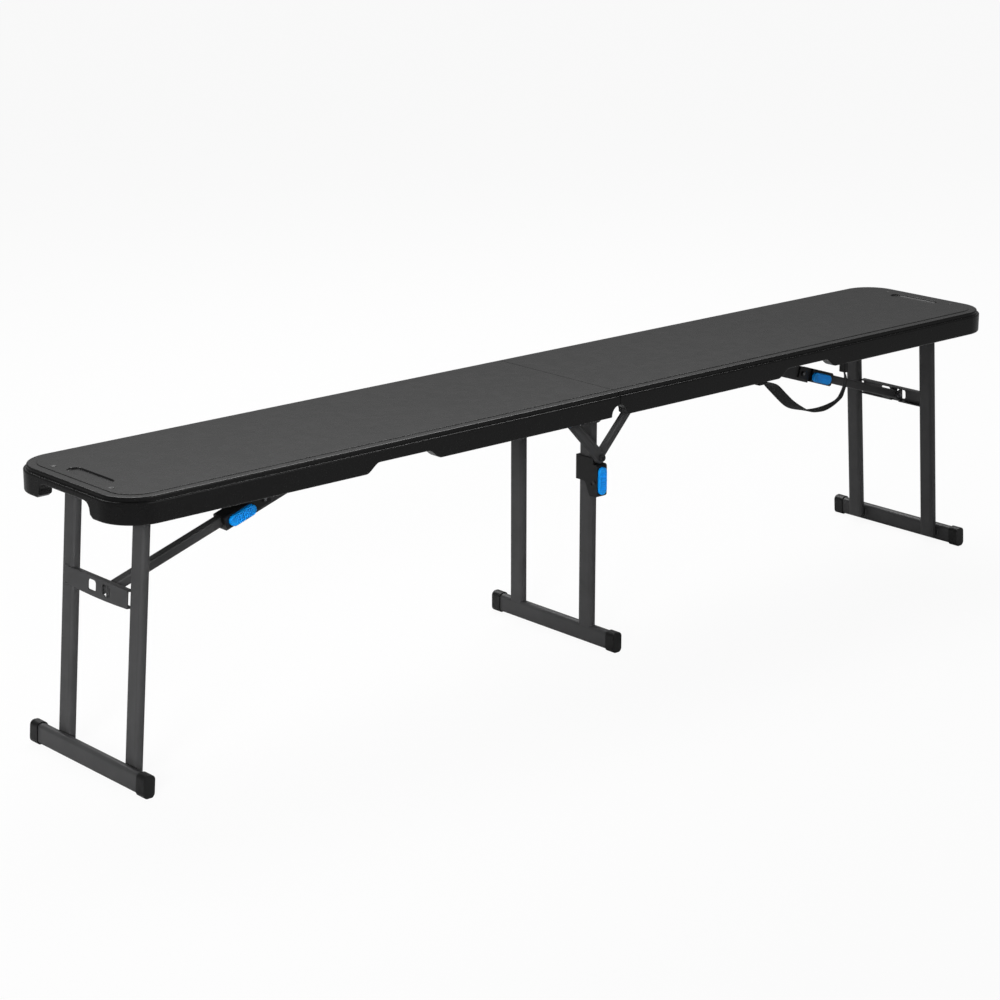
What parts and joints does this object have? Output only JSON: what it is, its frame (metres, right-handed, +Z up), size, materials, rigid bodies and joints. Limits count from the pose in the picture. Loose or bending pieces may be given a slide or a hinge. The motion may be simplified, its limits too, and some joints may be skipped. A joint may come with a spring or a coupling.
{
  "type": "folding bench",
  "caption": "Long fold-in-half bench: moulded tray seat hinged over a centre leg, with folding end legs, telescopic locking braces, a sliding strut lock and a webbing carry strap.",
  "frame": {"origin": "on the floor under the seam between the seat halves, halfway across the seat", "axes": "+X along the seat towards the half with the carry strap, +Y to the back, +Z up; the locks face -Y"},
  "size_m": [1.83, 0.289, 0.426],
  "materials": {
    "seat_moulding": "black moulded plastic, fine grain on top, smooth rim",
    "leg_steel": "dark grey powder coat",
    "black_plastic": "satin black",
    "blue_plastic": "satin blue",
    "plated_steel": "zinc plated",
    "webbing": "black woven webbing"
  },
  "bodies": {
    "centre_leg": {"centre_upright_near": "leg_steel", "centre_upright_far": "leg_steel", "centre_foot_bar": "leg_steel", "centre_foot_cap_near": "black_plastic", "centre_foot_cap_far": "black_plastic", "hinge_rod": "plated_steel"},
    "left_half": {"seat_left": "seat_moulding", "hinge_plate_left_near": "leg_steel", "hinge_plate_left_far": "leg_steel", "strut_anchor_left": "leg_steel", "leg_left_bracket_near": "leg_steel", "leg_left_bracket_far": "leg_steel", "brace_left_anchor": "leg_steel"},
    "right_half": {"seat_right": "seat_moulding", "hinge_plate_right_near": "leg_steel", "hinge_plate_right_far": "leg_steel", "strut_anchor_right": "leg_steel", "leg_right_bracket_near": "leg_steel", "leg_right_bracket_far": "leg_steel", "brace_right_anchor": "leg_steel", "carry_strap": "webbing", "strap_clip_inner": "black_plastic", "strap_clip_outer": "black_plastic"},
    "lock_slider": {"lock_housing": "black_plastic", "lock_housing_screw": "plated_steel", "lock_spring": "plated_steel", "strut_bolt": "plated_steel"},
    "lock_press": {"lock_button": "blue_plastic"},
    "strut_left": {"strut_left": "leg_steel"},
    "strut_right": {"strut_right": "leg_steel"},
    "left_leg": {"leg_left_upright_near": "leg_steel", "leg_left_upright_far": "leg_steel", "leg_left_foot_bar": "leg_steel", "leg_left_foot_cap_near": "black_plastic", "leg_left_foot_cap_far": "black_plastic", "leg_left_pivot_tube": "leg_steel", "leg_left_cross_plate": "leg_steel", "brace_left_pin": "plated_steel"},
    "left_brace_bar": {"brace_left_bar": "leg_steel"},
    "left_brace_channel": {"brace_left_channel": "leg_steel", "brace_left_lock_body": "black_plastic", "brace_left_lock_screw": "plated_steel", "brace_left_lock_spring": "plated_steel"},
    "left_lever": {"brace_left_lock_lever": "blue_plastic"},
    "right_leg": {"leg_right_upright_near": "leg_steel", "leg_right_upright_far": "leg_steel", "leg_right_foot_bar": "leg_steel", "leg_right_foot_cap_near": "black_plastic", "leg_right_foot_cap_far": "black_plastic", "leg_right_pivot_tube": "leg_steel", "leg_right_cross_plate": "leg_steel", "brace_right_pin": "plated_steel"},
    "right_brace_bar": {"brace_right_bar": "leg_steel"},
    "right_brace_channel": {"brace_right_channel": "leg_steel", "brace_right_lock_body": "black_plastic", "brace_right_lock_screw": "plated_steel", "brace_right_lock_spring": "plated_steel"},
    "right_lever": {"brace_right_lock_lever": "blue_plastic"}
  },
  "joints": [
    {"name": "bench_fold", "type": "hinge", "parent": "centre_leg", "child": "left_half", "pos_m": [0, 0, 0.376], "axis": [0, -1, 0], "range_deg": [0, 90]},
    {"name": "right_half_fold", "type": "hinge", "parent": "centre_leg", "child": "right_half", "pos_m": [0, 0, 0.376], "axis": [0, 1, 0], "range_deg": [0, 90.1], "deforming": ["carry_strap"]},
    {"name": "lock_slide", "type": "slide", "parent": "centre_leg", "child": "lock_slider", "axis": [0, 0, -1], "range_m": [0, 0.1304]},
    {"name": "lock_button_press", "type": "slide", "parent": "lock_slider", "child": "lock_press", "axis": [0, 1, 0], "range_m": [0, 0.004], "stiffness_N_per_m": 600, "springref_m": -0.002, "deforming": ["lock_spring"]},
    {"name": "strut_left_turn", "type": "hinge", "parent": "lock_slider", "child": "strut_left", "pos_m": [0, -0.104, 0.312], "axis": [0, 1, 0], "range_deg": [0, 33.8]},
    {"name": "strut_right_turn", "type": "hinge", "parent": "lock_slider", "child": "strut_right", "pos_m": [0, -0.1, 0.312], "axis": [0, -1, 0], "range_deg": [0, 33.8]},
    {"name": "left_leg_fold", "type": "hinge", "parent": "left_half", "child": "left_leg", "pos_m": [-0.844, 0, 0.4], "axis": [0, -1, 0], "range_deg": [0, 94.8]},
    {"name": "left_brace_turn", "type": "hinge", "parent": "left_leg", "child": "left_brace_bar", "pos_m": [-0.85443, -0.01, 0.26089], "axis": [0, 1, 0], "range_deg": [0, 112.7]},
    {"name": "left_brace_slide", "type": "slide", "parent": "left_brace_bar", "child": "left_brace_channel", "axis": [-0.9519, 0, -0.3063], "range_m": [0, 0.172]},
    {"name": "left_lever_press", "type": "slide", "parent": "left_brace_channel", "child": "left_lever", "axis": [0, 1, 0], "range_m": [0, 0.004], "stiffness_N_per_m": 600, "springref_m": -0.002, "deforming": ["brace_left_lock_spring"]},
    {"name": "right_leg_fold", "type": "hinge", "parent": "right_half", "child": "right_leg", "pos_m": [0.807, 0, 0.4], "axis": [0, 1, 0], "range_deg": [0, 94.8]},
    {"name": "right_brace_turn", "type": "hinge", "parent": "right_leg", "child": "right_brace_bar", "pos_m": [0.81743, -0.01, 0.26089], "axis": [0, -1, 0], "range_deg": [0, 112.7]},
    {"name": "right_brace_slide", "type": "slide", "parent": "right_brace_bar", "child": "right_brace_channel", "axis": [0.9519, 0, -0.3063], "range_m": [0, 0.172]},
    {"name": "right_lever_press", "type": "slide", "parent": "right_brace_channel", "child": "right_lever", "axis": [0, 1, 0], "range_m": [0, 0.004], "stiffness_N_per_m": 600, "springref_m": -0.002, "deforming": ["brace_right_lock_spring"]}
  ],
  "couplings": [
    {"joint": "right_half_fold", "follows": "bench_fold", "ratio": 1},
    {"joint": "lock_slide", "follows": "bench_fold", "m_per_rad": 0.082928},
    {"joint": "strut_left_turn", "follows": "bench_fold", "ratio": 0.37417},
    {"joint": "strut_right_turn", "follows": "bench_fold", "ratio": 0.37417},
    {"joint": "left_leg_fold", "follows": "bench_fold", "ratio": 1.0522},
    {"joint": "left_brace_turn", "follows": "bench_fold", "ratio": 1.251},
    {"joint": "left_brace_slide", "follows": "bench_fold", "m_per_rad": 0.10945},
    {"joint": "right_leg_fold", "follows": "bench_fold", "ratio": 1.0522},
    {"joint": "right_brace_turn", "follows": "bench_fold", "ratio": 1.251},
    {"joint": "right_brace_slide", "follows": "bench_fold", "m_per_rad": 0.10945}
  ]
}
